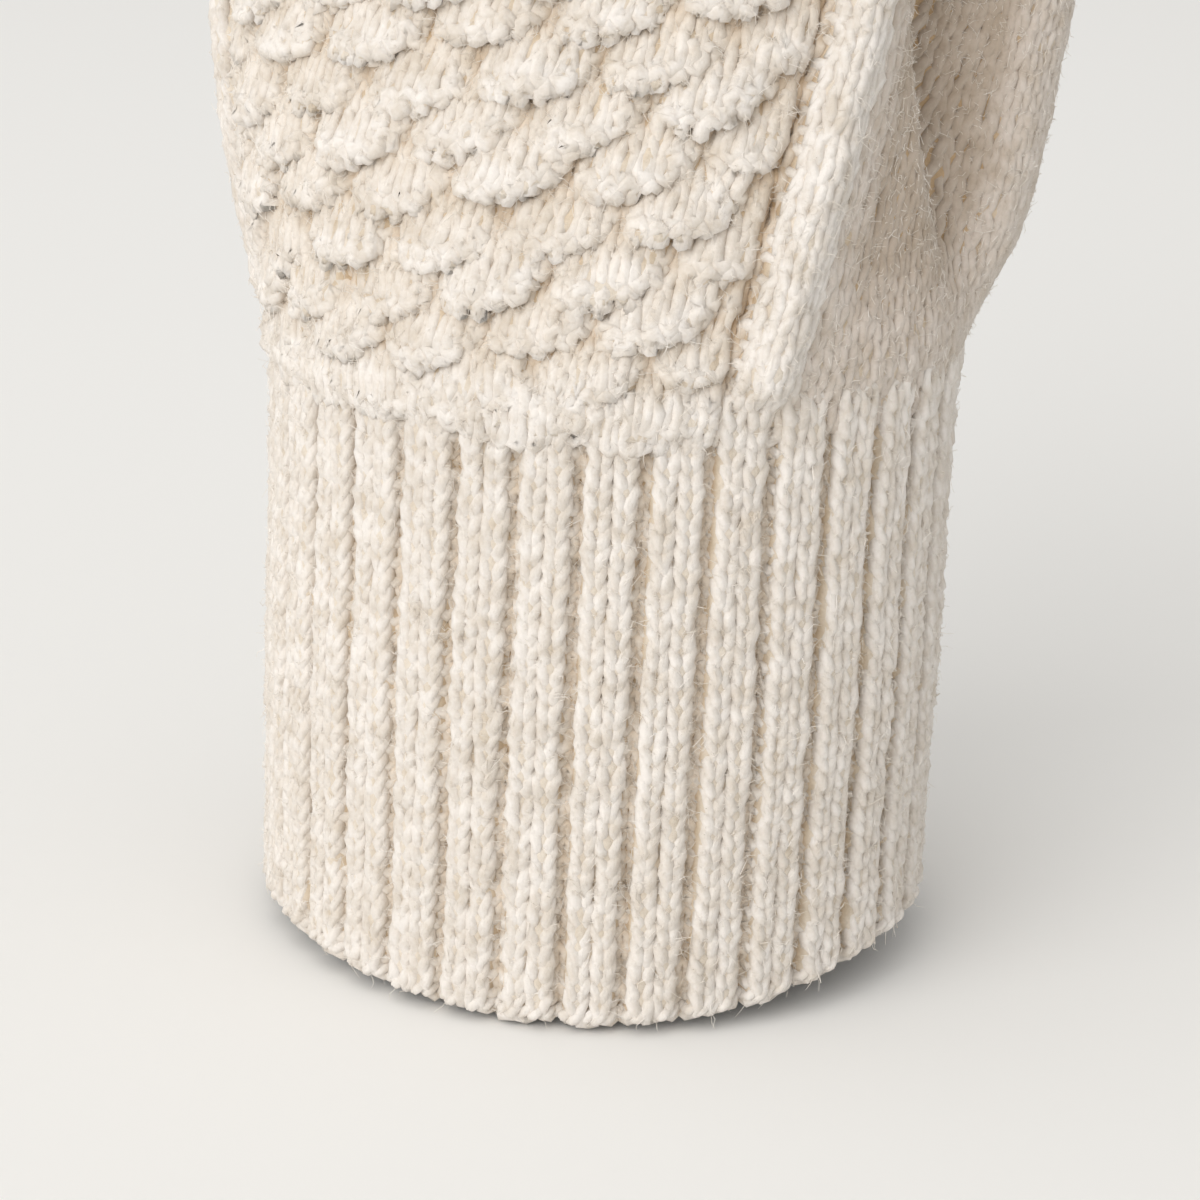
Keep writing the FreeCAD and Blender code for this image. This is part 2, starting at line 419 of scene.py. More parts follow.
def shell_mesh(name, material, outer, inner, closed, tint):
    """A closed thin layer between two grids of the same size."""
    levels, count = outer.shape[:2]
    total = levels * count
    spans = count if closed else count - 1
    i = np.arange(levels - 1)[:, None]
    j = np.arange(spans)[None, :]
    j_next = (j + 1) % count

    def corner(row, col, layer):
        return (layer * total + row * count + col) * np.ones((levels - 1, spans), int)

    here, beside = (i, j), (i, j_next)
    above, across = (i + 1, j), (i + 1, j_next)
    faces = [
        np.stack([corner(*spot, 0) for spot in (here, beside, across, above)], -1),
        np.stack([corner(*spot, 1) for spot in (here, above, across, beside)], -1),
    ]
    faces = [f.reshape(-1, 4) for f in faces]
    j = np.arange(spans)
    j_next = (j + 1) % count
    top = (levels - 1) * count
    faces.append(np.stack([j, total + j, total + j_next, j_next], -1))
    faces.append(np.stack([top + j, top + j_next, total + top + j_next, total + top + j], -1))
    if not closed:
        i = np.arange(levels - 1)
        left = i * count
        right = i * count + count - 1
        faces.append(np.stack([left, left + count, total + left + count, total + left], -1))
        faces.append(np.stack([right, total + right, total + right + count, right + count], -1))
    vertices = np.concatenate([outer.reshape(-1, 3), inner.reshape(-1, 3)])
    return make_mesh(name, vertices, faces, material, np.concatenate([tint.ravel(), tint.ravel()]))


# The hand's outline and its columns
LEVEL_LOW = -3.0
LEVEL_STEP = 1.0
LEVEL_COUNT = 160
GRID_PER_COLUMN = 8
OUTLINE_STEPS = 1440
BLUR = np.exp(-(np.arange(-30, 31) / 11.0) ** 2)
BLUR = BLUR / BLUR.sum()
WELT_WIDTH = 6.8
WELT_X = 21.8
WELT_LEAN = 0.155
# Where the panel starts on the little-finger side, and the palm ends (Y)
PANEL_START_Y = -9.4
PALM_END_Y = -2.6
# The hand puffs out a little over the top of the ribbing
BLOUSE_MIDDLE = 64.5
BLOUSE_HALF = 3.6
BLOUSE_OUT = 0.8
BLOUSE_SIDE = 0.2
# Heights between which the gusset starts, and between which it closes above the thumb
GUSSET_GROW = (61.0, 68.0)
GUSSET_FADE = (107.0, 122.0)
LOBE_BLEND = 3.0
GUSSET_BLEND = 2.4
# The fold between the gusset and the panel: depth, half width in radians, start and end
FOLD_DEPTH = 4.6
FOLD_HALF_TURN = 0.085
FOLD_START = (66.0, 88.0)
FOLD_END = (100.0, 113.0)
# The hand narrows to the fingers between these heights
KNUCKLE_RISE = (137.0, 151.0)
# The soft hem's rise, by angle from the middle of the photographed side
HEM_MIDDLE = -75.0
HEM_ANGLES = [-180, -130, -90, -57, -37, -20, 0, 22, 38, 60, 85, 130, 180]
HEM_LIFTS = [0.5, 1.8, 2.4, 1.9, 0.95, 0.5, 0.4, 1.2, 2.6, 4.4, 4.8, 2.5, 0.5]
HEM_LIFT_TOP = 38.0


def soft_max(a, b, width):
    share = np.clip(0.5 + 0.5 * (b - a) / width, 0, 1)
    return a * (1 - share) + b * share + width * share * (1 - share)


def finger_depth(x):
    """Half depth of the row of fingers where they meet the hand, at each x."""
    depth = np.full(x.shape, 5.0)
    for name, base_x, base_z, lean, half_width, half_depth, length in FINGERS:
        reach = np.clip(1 - ((x - base_x) / (half_width + 0.6)) ** 2, 0, 1)
        depth = soft_max(depth, (half_depth + 0.4) * np.sqrt(reach), 2.0)
    return depth


def lobe_reach(lobe, height, middle, turn, fade):
    """How far out one lobe of the gusset reaches along each direction from the hand's middle."""
    x, y, size = [float(smooth_curve(lobe[:, 0], lobe[:, c], height)) for c in (1, 2, 3)]
    x -= middle
    away = math.hypot(x, y)
    inward = 1 - 9.0 * fade / away
    x, y = x * inward, y * inward
    size = size * (1 - 0.55 * fade)
    ahead = x * np.cos(turn) + y * np.sin(turn)
    inside = size**2 - (x * x + y * y - ahead**2)
    slope = 1.4 - 0.7 * float(smoothstep(height, 98.0, 112.0))
    reach = ahead + np.sqrt(np.maximum(inside, 0)) - slope * np.sqrt(np.maximum(-inside, 0))
    return np.where(ahead > 0, reach, 0)


def hand_outline(height):
    """Points round the hand and gusset at one height, by rising angle from the thumb side."""
    middle, width, depth = [float(smooth_curve(HAND_SECTIONS[:, 0], HAND_SECTIONS[:, c], height))
                            for c in (1, 2, 3)]
    blouse = math.exp(-((height - BLOUSE_MIDDLE) / BLOUSE_HALF) ** 2)
    width += BLOUSE_SIDE * blouse
    depth += BLOUSE_OUT * blouse
    turn = 2 * math.pi * np.arange(OUTLINE_STEPS) / OUTLINE_STEPS
    radial = width * depth / np.hypot(depth * np.cos(turn), width * np.sin(turn))
    fade = float(smoothstep(height, *GUSSET_FADE))
    grow = float(smoothstep(height, *GUSSET_GROW))
    if fade < 1 and grow > 0:
        back = lobe_reach(GUSSET_BACK, height, middle, turn, fade)
        palm = lobe_reach(GUSSET_PALM, height, middle, turn, fade)
        reach = soft_max(back, palm, LOBE_BLEND)
        gap = reach - radial
        radial = soft_max(radial, reach, GUSSET_BLEND)
        radial = np.convolve(np.tile(radial, 3), BLUR, "same")[OUTLINE_STEPS:2 * OUTLINE_STEPS]
        angle = np.where(turn > math.pi, turn - 2 * math.pi, turn)
        back_side = np.flatnonzero((angle > -0.9) & (angle < 0.4))
        valley = angle[back_side[np.argmin(np.abs(gap[back_side]))]]
        deep = float(smoothstep(height, *FOLD_START)) * (1 - float(smoothstep(height, *FOLD_END)))
        radial = radial - FOLD_DEPTH * deep * np.exp(-((angle - valley) / FOLD_HALF_TURN) ** 2)
    return middle + radial * np.cos(turn), radial * np.sin(turn), turn, middle, width


def hem_lift(turn):
    """The soft hem rises at the two sides."""
    away = np.mod(np.degrees(turn) - HEM_MIDDLE + 180.0, 360.0) - 180.0
    return np.interp(away, HEM_ANGLES, HEM_LIFTS)


def hand_points(ribbed):
    """The grid of the cuff and hand wall, with the cuff's columns or the hand's."""
    count = CUFF_COLUMNS if ribbed else HAND_COLUMNS
    columns = np.arange(count * GRID_PER_COLUMN) / GRID_PER_COLUMN
    grid = np.zeros((LEVEL_COUNT, len(columns), 3))
    knots = np.array([0, BACK_COLUMNS, WELT_END, VALLEY_ONE, VALLEY_TWO, PALM_END,
                      HAND_COLUMNS], float)
    for level in range(LEVEL_COUNT):
        height = LEVEL_LOW + level * LEVEL_STEP
        x, y, turn, middle, width = hand_outline(height)
        xs = np.append(x, x[0])
        ys = np.append(y, y[0])
        run = np.concatenate([[0], np.cumsum(np.hypot(np.diff(xs), np.diff(ys)))])
        around = run[-1]
        left = np.arange(OUTLINE_STEPS)
        start = left[(turn > math.pi) & (x < middle)]
        start = start[np.argmin(np.abs(y[start] - PANEL_START_Y))]
        palm = left[(turn > math.pi / 2) & (turn < 1.4 * math.pi) & (x < middle)]
        palm = palm[np.argmin(np.abs(y[palm] - PALM_END_Y))]
        back = left[(turn > 1.5 * math.pi)]
        ellipse_edge = middle + width
        target = min(WELT_X + WELT_LEAN * (height - BLOUSE_MIDDLE) - 3.1, ellipse_edge - 2.6)
        back = back[np.argmin(np.abs(x[back] - target))]
        centre = math.radians(15.0 + 13.0 * float(smoothstep(height, 62.0, 108.0))
                              - 12.0 * float(smoothstep(height, 108.0, 148.0)))
        half = math.radians(11.0 + 9.0 * float(smoothstep(height, 58.0, 96.0))
                            - 9.0 * float(smoothstep(height, 104.0, 146.0)))
        one = np.interp(centre - half, np.append(turn, 2 * math.pi), run)
        two = np.interp(centre + half, np.append(turn, 2 * math.pi), run)
        if centre - half < 0:
            one = np.interp(centre - half + 2 * math.pi, np.append(turn, 2 * math.pi), run) - around
        places = np.array([
            run[start], run[back], run[back] + WELT_WIDTH, one + around, two + around,
            run[palm] + around, run[start] + around,
        ])
        if ribbed:
            at = cuff_columns(columns, run[start], around)
        else:
            at = np.interp(columns, knots, places)
        at = np.mod(at, around)
        grid[level, :, 0] = np.interp(at, run, xs)
        grid[level, :, 1] = np.interp(at, run, ys)
        grid[level, :, 2] = height
    lift = hem_lift(np.arctan2(grid[..., 1], grid[..., 0]))
    grid[..., 2] += lift * (1 - smoothstep(grid[..., 2], 0.0, HEM_LIFT_TOP))
    return shape_knuckles(grid)


def cuff_columns(columns, start, around):
    """Two knit columns and one narrow purl column to each repeat."""
    widths = np.array([0, 2.3, 4.6, 6.2]) / 6.2
    within = np.interp(np.mod(columns, 3), [0, 1, 2, 3], widths)
    return start + (np.floor(columns / 3) + within) * around / REPEATS


def shape_knuckles(grid):
    """The knuckle line dips between the fingers and slopes down to the little finger."""
    x, y, z = grid[..., 0].copy(), grid[..., 1], grid[..., 2]
    near_top = smoothstep(z, *KNUCKLE_RISE)
    middle = -5.0
    width = np.maximum(np.abs(x - middle).max(1, keepdims=True), 1e-3)
    oval = 13.2 * np.sqrt(np.clip(1 - ((x - middle) / (width + 0.01)) ** 2, 0.02, 1))
    ratio = np.clip(finger_depth(x) / oval, 0.3, 1.35)
    grid[..., 1] = y * (1 + near_top * (ratio - 1))
    drop = 3.2 * smoothstep(-x, 24.0, 29.0) + 0.11 * np.maximum(-x - 27.0, 0)
    grid[..., 2] = z - drop * smoothstep(z, 118.0, HAND_TOP)
    return grid


HAND_SKIN = Skin(hand_points(False), 0.0, 1.0 / GRID_PER_COLUMN, LEVEL_LOW, LEVEL_STEP, True)
CUFF_SKIN = Skin(hand_points(True), 0.0, 1.0 / GRID_PER_COLUMN, LEVEL_LOW, LEVEL_STEP, True)

# Blistered panel: overlapping lips of purl over raised knit blocks, each chain of blisters
# rising towards the thumb. Sizes in columns and rows, then millimetres.
CELL_WIDTH = 3
CELL_ROWS = 5
CELL_SHIFT = 2
CELL_RISE = 1.95
LIP_SINK = 0.85
LIP_RISE = 0.05
LIP_FALL = (0.22, 0.32)
LIP_RIPPLE = 0.42
CELL_START = 58.0
PANEL_DEPTH = 1.65
PANEL_FADE = (138.0, 149.0)

# Grooves and ridges between the parts of the hand, in columns and millimetres
BORDER_HALF = 0.55
RADIAL_BORDER = 2.1
ULNAR_BORDER = 1.2
PALM_BORDER = 0.9
RADIAL_RIDGE = (38.0, 2.3, 2.2)
ULNAR_RIDGE = (PALM_END + 1.5, 1.7, 1.5)
WELT_FADE = (132.0, 147.0)
WELT_FADE_SHARE = 0.85
DIP_DEPTH = 2.0


def cells(column, height):
    """Relief, purl share and sink of the blistered panel."""
    place = column / CELL_WIDTH
    base = np.floor(place)
    relief = np.zeros(column.shape)
    weight_sum = np.full(column.shape, 1e-6)
    purl_sum = np.zeros(column.shape)
    sink_sum = np.zeros(column.shape)
    for shift in (-1, 0, 1):
        index = base + shift
        side = place - index - 0.5
        wander = (0.5 * np.sin(1.7 * index + 0.11 * height)
                  + 0.35 * np.sin(2.9 * index + 0.23 * height + 1.0))
        ripple = LIP_RIPPLE * np.sin(2 * math.pi * (column + 0.3 * np.sin(height)) * 0.93)
        lateral = np.clip(1 - np.abs(side / 1.02) ** 3.4, 0, 1)
        bow = 0.28 * (2 * side) ** 2 + 1.3 * side + wander + ripple
        phase = np.mod(((height - bow - CELL_START) / ROW + CELL_SHIFT * index) / CELL_ROWS, 1.0)
        lip = smoothstep(phase, 0.0, LIP_RISE) * (1 - smoothstep(phase, *LIP_FALL))
        body = smoothstep(phase, 0.0, LIP_RISE) * (1 - 0.92 * smoothstep(phase, 0.18, 0.95) ** 0.75)
        chain = np.floor((height - bow) / (ROW * CELL_ROWS))
        strength = 1 + 0.18 * np.sin(4.1 * index + 0.5 * chain)
        rise = CELL_RISE * strength * (0.86 * body + 0.14 * lip) * lateral
        weight = np.exp(5.0 * rise)
        weight_sum += weight
        relief += weight * rise
        purl_sum += weight * lip * np.where(lateral > 0.15, 1, 0)
        sink_sum += weight * LIP_SINK * lip * lateral
    return relief / weight_sum, purl_sum / weight_sum, sink_sum / weight_sum


def back_share(column):
    """1 over the blistered panel, fading to 0 at its two borders."""
    inside = np.mod(column, HAND_COLUMNS)
    ending = smoothstep(inside, BACK_COLUMNS - 0.9, BACK_COLUMNS)
    return smoothstep(inside, 0.0, 1.6) * (1 - ending)


def groove(inside, middle, half=BORDER_HALF):
    return np.exp(-((inside - middle) / half) ** 2)


def ridge(column, middle, half, rise):
    away = np.clip(np.abs(np.mod(column, HAND_COLUMNS) - middle) / half, 0, 1)
    return rise * np.cos(away * math.pi / 2) ** 2


def hand_relief(column, height):
    inside = np.mod(column, HAND_COLUMNS)
    relief = cells(inside, height)[0]
    share = back_share(inside)
    total = share * (relief - PANEL_DEPTH) * (1 - smoothstep(height, *PANEL_FADE))
    total = total - RADIAL_BORDER * groove(inside, BACK_COLUMNS)
    total = total - ULNAR_BORDER * (groove(inside, 0) + groove(inside, HAND_COLUMNS))
    welts = ridge(inside, *RADIAL_RIDGE) + ridge(inside, *ULNAR_RIDGE)
    total = total + welts * (1 - WELT_FADE_SHARE * smoothstep(height, *WELT_FADE))
    total = total - PALM_BORDER * groove(inside, PALM_END, 0.5)
    dip = smoothstep(inside, WELT_END - 0.3, WELT_END + 3.5)
    dip = dip * (1 - smoothstep(inside, VALLEY_ONE - 4.0, VALLEY_ONE + 1.5))
    dip = dip * smoothstep(height, 61.0, 76.0) * (1 - smoothstep(height, 98.0, 116.0))
    total = total - DIP_DEPTH * dip
    total = total * smoothstep(height, 60.5, 64.0)
    return total + (1.3 * share - 0.4) * np.exp(-((height - 60.0) / 2.2) ** 2)


def hand_face(column, height):
    inside = np.mod(column, HAND_COLUMNS)
    purl = cells(inside, height)[1]
    share = back_share(inside) * (1 - smoothstep(height, *PANEL_FADE))
    return 1 - 2 * np.clip(purl * share, 0, 1)


def hand_sink(column, height):
    inside = np.mod(column, HAND_COLUMNS)
    sink = cells(inside, height)[2]
    return sink * back_share(inside) * (1 - smoothstep(height, *PANEL_FADE))


def hand_swell(column, height):
    inside = np.mod(column, HAND_COLUMNS)
    return 1 + 0.22 * cells(inside, height)[1] * back_share(inside)


# Ribbing, per repeat of two knit columns and one purl column
RIB_GROOVE = 1.2
RIB_ROUND = 0.34
RIB_SPLIT = 0.15


def rib_relief(column, height):
    inside = np.mod(column, 3)
    purl_groove = np.exp(-(np.abs(inside - 2.5) / 0.55) ** 2.4)
    split = groove(inside, 1.0, 0.22)
    humps = np.abs(np.sin(math.pi * inside)) * (inside < 2)
    return -RIB_GROOVE * purl_groove + RIB_ROUND * humps - RIB_SPLIT * split


def rib_face(column, height):
    inside = np.mod(column, 3)
    purl = smoothstep(inside, 1.88, 2.12) * (1 - smoothstep(inside, 2.88, 3.0))
    return 1 - 2 * purl


def flat(value):
    return lambda column, height: np.full(column.shape, value)


# Materials
def wool(name, light, mid, deep, bump, sheen):
    """Cream wool: mottled colour, with painted shade darkening the recesses, twisted plies and loose
    fibre.
    """
    material = bpy.data.materials.new(name)
    material.use_nodes = True
    tree = material.node_tree
    nodes, links = tree.nodes, tree.links
    nodes.clear()
    out = nodes.new("ShaderNodeOutputMaterial")
    shader = nodes.new("ShaderNodeBsdfPrincipled")
    links.new(shader.outputs["BSDF"], out.inputs["Surface"])
    shader.inputs["Roughness"].default_value = 0.92
    shader.inputs["Specular IOR Level"].default_value = 0.22
    shader.inputs["Sheen Weight"].default_value = sheen
    shader.inputs["Sheen Roughness"].default_value = 0.45
    shader.inputs["Sheen Tint"].default_value = (1.0, 0.95, 0.88, 1.0)
    place = nodes.new("ShaderNodeTexCoord")
    # Painted shade: the per-point shade level picks a colour from the deep recess shade through the
    # half shade to the light cream
    tint = nodes.new("ShaderNodeAttribute")
    tint.attribute_name = "tint"
    depth = nodes.new("ShaderNodeValToRGB")
    depth.color_ramp.elements[0].position = 0.0
    depth.color_ramp.elements[0].color = (*deep, 1)
    depth.color_ramp.elements[1].position = 0.62
    depth.color_ramp.elements[1].color = (*light, 1)
    middle = depth.color_ramp.elements.new(0.30)
    middle.color = (*mid, 1)
    links.new(tint.outputs["Fac"], depth.inputs["Fac"])
    mottle = nodes.new("ShaderNodeTexNoise")
    mottle.inputs["Scale"].default_value = 420.0
    mottle.inputs["Detail"].default_value = 4.0
    mottle.inputs["Roughness"].default_value = 0.65
    links.new(place.outputs["Object"], mottle.inputs["Vector"])
    shade = nodes.new("ShaderNodeValToRGB")
    shade.color_ramp.elements[0].position = 0.30
    shade.color_ramp.elements[0].color = (0.80, 0.76, 0.70, 1)
    shade.color_ramp.elements[1].position = 0.62
    shade.color_ramp.elements[1].color = (1.0, 1.0, 1.0, 1)
    links.new(mottle.outputs["Fac"], shade.inputs["Fac"])
    mix = nodes.new("ShaderNodeMix")
    mix.data_type = "RGBA"
    mix.blend_type = "MULTIPLY"
    mix.inputs[0].default_value = 1.0
    links.new(depth.outputs["Color"], mix.inputs[6])
    links.new(shade.outputs["Color"], mix.inputs[7])
    links.new(mix.outputs[2], shader.inputs["Base Color"])
    strand = nodes.new("ShaderNodeUVMap")
    strand.uv_map = "strand"
    stretch = nodes.new("ShaderNodeMapping")
    stretch.inputs["Scale"].default_value = (0.55, 1.0, 1.0)
    links.new(strand.outputs["UV"], stretch.inputs["Vector"])
    ply = nodes.new("ShaderNodeTexWave")
    ply.wave_type = "BANDS"
    ply.bands_direction = "DIAGONAL"
    ply.inputs["Scale"].default_value = 0.64
    ply.inputs["Distortion"].default_value = 1.6
    ply.inputs["Detail"].default_value = 3.0
    ply.inputs["Detail Scale"].default_value = 3.0
    links.new(stretch.outputs["Vector"], ply.inputs["Vector"])
    fibre = nodes.new("ShaderNodeTexNoise")
    fibre.inputs["Scale"].default_value = 2600.0
    fibre.inputs["Detail"].default_value = 6.0
    fibre.inputs["Roughness"].default_value = 0.7
    links.new(place.outputs["Object"], fibre.inputs["Vector"])
    ply_bump = nodes.new("ShaderNodeBump")
    ply_bump.inputs["Strength"].default_value = 0.25
    ply_bump.inputs["Distance"].default_value = 0.00012
    links.new(ply.outputs["Fac"], ply_bump.inputs["Height"])
    fibre_bump = nodes.new("ShaderNodeBump")
    fibre_bump.inputs["Strength"].default_value = bump
    fibre_bump.inputs["Distance"].default_value = 0.00022
    links.new(fibre.outputs["Fac"], fibre_bump.inputs["Height"])
    links.new(ply_bump.outputs["Normal"], fibre_bump.inputs["Normal"])
    links.new(fibre_bump.outputs["Normal"], shader.inputs["Normal"])
    return material


# Cream wool colour, with oat as painted half shade and tan as painted shade in the recesses
CREAM = (0.845, 0.80, 0.755)
HALF_SHADE_OAT = (0.79, 0.72, 0.64)
SHADE_TAN = (0.70, 0.54, 0.375)
RIB_WOOL = wool("ribbed_wool", CREAM, HALF_SHADE_OAT, SHADE_TAN, 0.7, 0.5)
TEXTURE_WOOL = wool("blistered_wool", CREAM, HALF_SHADE_OAT, SHADE_TAN, 0.6, 0.45)
# Plain knit colours are darker copies of the cream: partly the plain knit's greyer tone, partly
# painted shade for the gusset and palm side, which lie in shade
PLAIN_GREY_SHADED_CREAM = (0.745, 0.68, 0.62)
PLAIN_GREY_SHADED_OAT = (0.69, 0.615, 0.55)
PLAIN_GREY_SHADED_TAN = (0.56, 0.475, 0.395)
PLAIN_WOOL_GREY_SHADED = wool("plain_wool_grey_shaded", PLAIN_GREY_SHADED_CREAM, PLAIN_GREY_SHADED_OAT, PLAIN_GREY_SHADED_TAN, 0.8, 0.6)
WELT_WOOL = wool("welt_wool", CREAM, HALF_SHADE_OAT, SHADE_TAN, 0.7, 0.5)
EDGE_WOOL = wool("edge_wool", CREAM, HALF_SHADE_OAT, SHADE_TAN, 0.7, 0.5)
# The felt's tan colours are painted shade for the gaps between stitches
FELT_SHADE_LIGHT = (0.81, 0.735, 0.64)
FELT_SHADE_MIDDLE = (0.74, 0.62, 0.475)
FELT_SHADE_DARK = (0.58, 0.42, 0.26)
SHADED_FELT = wool("felted_inside_shaded", FELT_SHADE_LIGHT, FELT_SHADE_MIDDLE, FELT_SHADE_DARK, 1.0, 0.3)
FIBRE_LIGHT = (0.88, 0.84, 0.79)
FIBRE_DARK = (0.86, 0.82, 0.77)
FUZZ = wool("loose_fibre", FIBRE_LIGHT, FIBRE_LIGHT, FIBRE_DARK, 0.1, 0.6)


def finish_piece(piece, replaced=()):
    if replaced:
        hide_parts(*replaced)
    return piece


def heights_between(low, high):
    return np.arange(low, high, ROW)


def edge_cord(skin, height, columns, first, yarn, inset, relief, tint=0.6):
    """The two strands of a cast-on or bound-off edge, wound about each other."""
    steps = columns * 14
    stitch = first + columns * np.arange(steps)[None, :] / steps
    strands = []
    for half in (0.0, math.pi):
        wave = 2 * math.pi * stitch + half
        level = height + 0.62 * yarn * np.sin(wave)
        place, outward = skin.read(stitch, level)
        lift = 0.75 * yarn * np.cos(wave) - inset + relief(stitch, level)
        paths = place + outward * lift[..., None]
        radius = yarn * (0.86 + 0.08 * FINE(place))
        # The cord is coloured at one fixed painted-shade level, just under full cream
        strands.append(strand_tubes(paths, outward, radius, np.full(radius.shape, tint), True))
    return strands


FIBRE_RADII = (0.034, 0.034, 0.028, 0.014)
LONG_FIBRE = 1.6
SHORT_FIBRE = 1.3


def fuzz(name, knit, heights, columns, first, closed, count, length, seed):
    """Loose fibres standing off the yarn, each a thin three-sided tube."""
    source = np.random.default_rng(seed)
    paths, outward, radius, tint = knit.courses(heights, columns, first, closed)
    row = source.integers(0, paths.shape[0], count)
    step = source.integers(0, paths.shape[1], count)
    normal = outward[row, step]
    side = unit(np.cross(normal, source.normal(size=(count, 3))))
    lean = source.uniform(0.0, 1.1, (count, 1))
    start = paths[row, step] + radius[row, step][:, None] * unit(normal + lean * side) * 0.9
    stand = source.uniform(0.0, 0.55, (count, 1))
    way = unit(0.6 * normal * stand + side)
    turn_in = -0.35 * normal
    curl = source.normal(size=(count, 3)) * 0.55 + turn_in
    kink = source.normal(size=(count, 3)) * 0.16
    reach = length * source.uniform(0.35, 1.1, (count, 1))
    points = []
    for t in (0.0, 0.33, 0.67, 1.0):
        bend = way * t + curl * t * t * 0.6 + kink * math.sin(2 * math.pi * t)
        points.append(start + reach * bend)
    lines = np.stack(points, 1)
    thin = np.array(FIBRE_RADII)[None, :] * np.ones((count, 1))
    normals = np.repeat(normal[:, None, :], 4, 1) + 0.01
    bundle = Bundle()
    bundle.add(*strand_tubes(lines, normals, thin, np.full((count, 4), 1.0), False, sides=3))
    made = bundle.build(name, FUZZ)
    made.data.polygons.foreach_set("use_smooth", np.zeros(len(made.data.polygons), bool))
    return made


# Cuff: ribbing in two pieces, with the cast-on edge
CUFF = Knit(CUFF_SKIN, RIB_YARN, rib_relief, rib_face, flat(0.0), inset=1.15,
            slant=0.23, sway=0.45)

low_rows = heights_between(1.9, 5.2)
edge = CUFF.knit("cuff_edge_knit", EDGE_WOOL, low_rows, CUFF_COLUMNS, 0, True,
                 extra=edge_cord(CUFF_SKIN, 0.95, CUFF_COLUMNS, 0, 0.60, 1.1, rib_relief))
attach(finish_piece(edge, ["cast_on_edge"]), "cuff")
next_row = low_rows[-1] + ROW
cuff_rows = heights_between(next_row, CUFF_TOP)
ribbing = CUFF.knit("cuff_rib_knit", RIB_WOOL, cuff_rows, CUFF_COLUMNS, 0, True)
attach(finish_piece(ribbing, ["rib_cuff"]), "cuff")
next_row = cuff_rows[-1] + ROW
wrist_rows = heights_between(next_row, FLEX_TOP)
wrist = CUFF.knit("wrist_rib_knit", RIB_WOOL, wrist_rows, CUFF_COLUMNS, 0, True)
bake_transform(finish_piece(wrist, ["wrist_ribbing"]))
cuff_felt = CUFF.backing("cuff_felt", SHADED_FELT, 1.0, 60.6, CUFF_COLUMNS, 0, True, per_column=6)
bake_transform(finish_piece(cuff_felt))
cuff_fuzz = fuzz("cuff_fuzz", CUFF, heights_between(2.3, CUFF_TOP), CUFF_COLUMNS, 0, True,
                 17500, LONG_FIBRE, 21)
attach(finish_piece(cuff_fuzz), "cuff")
wrist_fuzz = fuzz("wrist_fuzz", CUFF, wrist_rows, CUFF_COLUMNS, 0, True,
                  7000, LONG_FIBRE, 20)
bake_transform(finish_piece(wrist_fuzz))

# Hand: the back panel, welts, thumb gusset and palm share the same courses
HAND = Knit(HAND_SKIN, HAND_YARN, hand_relief, hand_face, hand_sink, inset=1.05,
            swell=hand_swell, slant=0.23)
hand_rows = heights_between(HAND_LOW, HAND_TOP)
gusset_rows = hand_rows[hand_rows < GUSSET_TOP]
upper_rows = hand_rows[hand_rows >= GUSSET_TOP]
back = HAND.knit("back_panel_knit", TEXTURE_WOOL, hand_rows, BACK_COLUMNS, 0)
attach(finish_piece(back, ["back_panel", "setup_round"]), "hand")
radial = HAND.knit("radial_welt_knit", WELT_WOOL, hand_rows, WELT_END - BACK_COLUMNS, BACK_COLUMNS)
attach(finish_piece(radial, ["radial_welt"]), "hand")
ulnar = HAND.knit("ulnar_welt_knit", WELT_WOOL, hand_rows, HAND_COLUMNS - PALM_END, PALM_END)
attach(finish_piece(ulnar, ["ulnar_welt"]), "hand")
gusset = HAND.knit("thumb_gusset_knit", PLAIN_WOOL_GREY_SHADED, gusset_rows, VALLEY_TWO - WELT_END, WELT_END)
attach(finish_piece(gusset, ["thumb_gusset"]), "hand")
palm = HAND.knit("palm_knit", PLAIN_WOOL_GREY_SHADED, gusset_rows, PALM_END - VALLEY_TWO, VALLEY_TWO)
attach(finish_piece(palm, ["palm_panel"]), "hand")
yoke = HAND.knit("knuckle_yoke_knit", PLAIN_WOOL_GREY_SHADED, upper_rows, PALM_END - WELT_END, WELT_END)
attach(finish_piece(yoke, ["knuckle_yoke"]), "hand")
hand_felt = HAND.backing("hand_felt", SHADED_FELT, 59.0, 150.0, HAND_COLUMNS, 0, True, per_column=4)
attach(finish_piece(hand_felt), "hand")
back_fuzz = fuzz("back_fuzz", HAND, hand_rows, BACK_COLUMNS + 3, 0, False,
                 16000, LONG_FIBRE, 22)
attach(finish_piece(back_fuzz), "hand")
palm_fuzz = fuzz("palm_fuzz", HAND, gusset_rows, HAND_COLUMNS - WELT_END, WELT_END, False,
                 17500, SHORT_FIBRE, 23)
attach(finish_piece(palm_fuzz), "hand")
yoke_fuzz = fuzz("yoke_fuzz", HAND, upper_rows, HAND_COLUMNS - WELT_END, WELT_END, False,
                 9000, SHORT_FIBRE, 24)
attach(finish_piece(yoke_fuzz), "hand")


